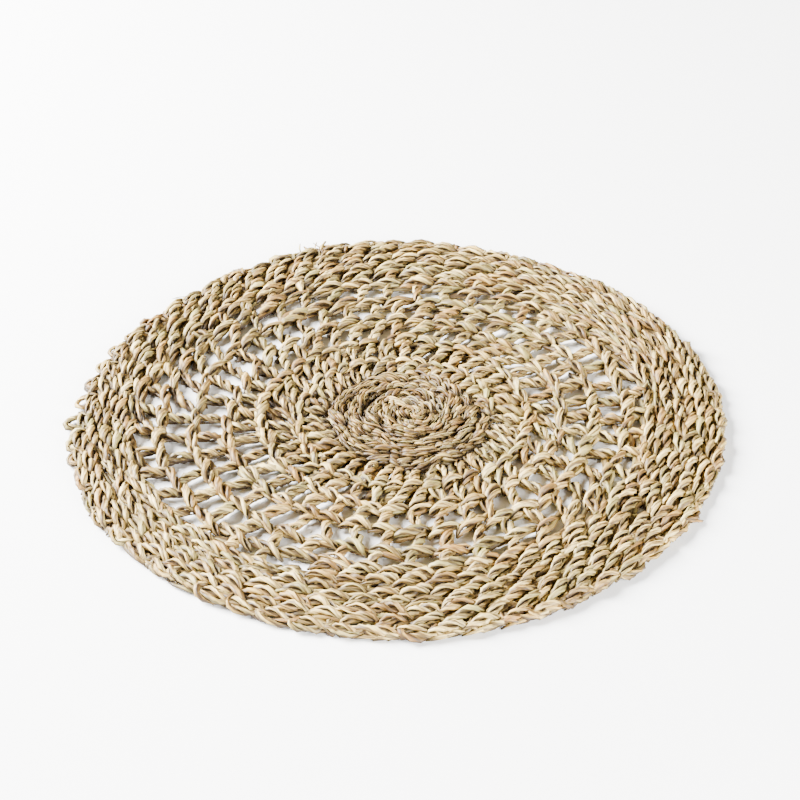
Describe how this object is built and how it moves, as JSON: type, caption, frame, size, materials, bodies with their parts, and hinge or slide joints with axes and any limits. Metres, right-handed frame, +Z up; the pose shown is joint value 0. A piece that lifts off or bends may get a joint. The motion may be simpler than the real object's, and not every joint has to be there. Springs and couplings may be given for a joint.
{
  "type": "round seagrass placemat",
  "caption": "Round openwork table mat crocheted in a spiral from one natural seagrass cord, with a dense centre, an airy middle and a dense scalloped rim.",
  "frame": {"origin": "middle of the mat's outline, on the surface it lies on", "axes": "+Z up, across the mat's thickness; the shortest way from the start ring to the edge points roughly along +X; -Y is the side nearest the diner"},
  "size_m": [0.3818, 0.38, 0.009],
  "materials": {
    "seagrass": "dry twisted seagrass, straw to pale olive, matt with a faint leaf sheen"
  },
  "bodies": {
    "root": {"placemat": "seagrass"}
  },
  "joints": []
}
